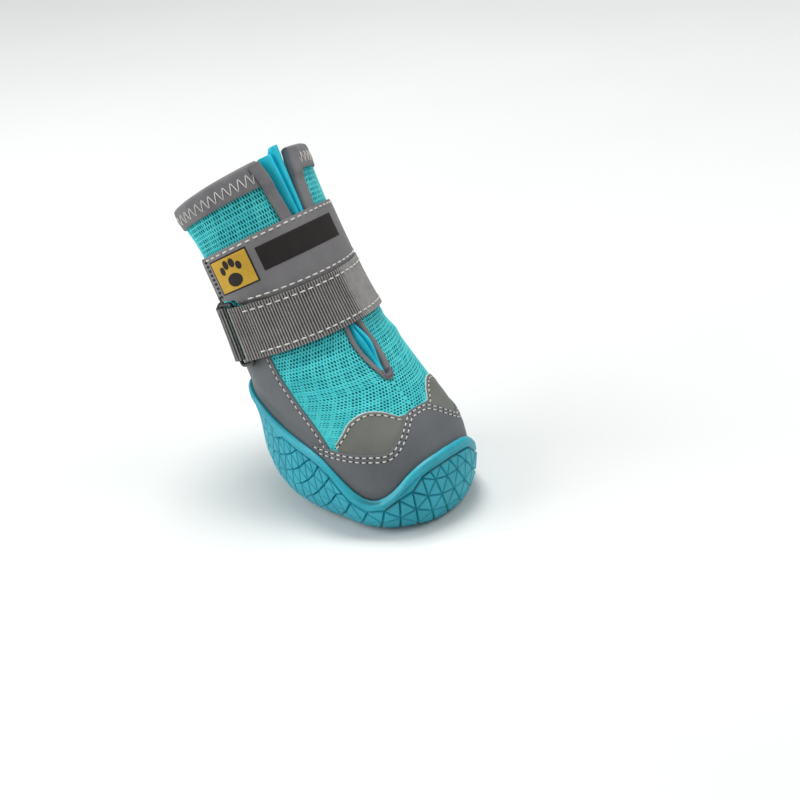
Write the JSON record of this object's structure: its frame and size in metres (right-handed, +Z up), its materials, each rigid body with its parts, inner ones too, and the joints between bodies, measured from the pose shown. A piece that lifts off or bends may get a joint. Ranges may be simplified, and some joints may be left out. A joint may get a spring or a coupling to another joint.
{
  "type": "dog boot",
  "caption": "Dog boot with a lugged rubber cup sole, hollow mesh upper with a pleated throat slit, grey toe overlays, a wide reflective strap and a webbing strap through a ring.",
  "frame": {"origin": "on the ground, under the middle of the boot's overall width and length", "axes": "X runs across the boot, Y runs back from the toe to the leaning collar, Z runs up from the ground"},
  "size_m": [0.0665, 0.1138, 0.1303],
  "materials": {
    "rubber": "satin moulded rubber",
    "board": "brushed fabric over foam board",
    "knit": "open air-mesh knit",
    "satin": "smooth stretch fabric",
    "synthetic": "smooth coated microfibre",
    "reflective": "matt grey retro-reflective tape",
    "fuzz": "brushed loop pile",
    "webbing": "ribbed polyester webbing",
    "plastic": "black moulded plastic"
  },
  "bodies": {
    "root": {"outsole": "rubber", "insole": "board", "upper": "knit", "gusset": "satin", "collar_binding": "synthetic", "toe_cap": "synthetic", "toe_patch_left": "synthetic", "toe_patch_right": "synthetic", "mudguard": "synthetic", "reflective_strap": "reflective", "loop_patch": "fuzz", "webbing_strap": "webbing", "ring_tab": "webbing", "strap_ring": "plastic"}
  },
  "joints": []
}
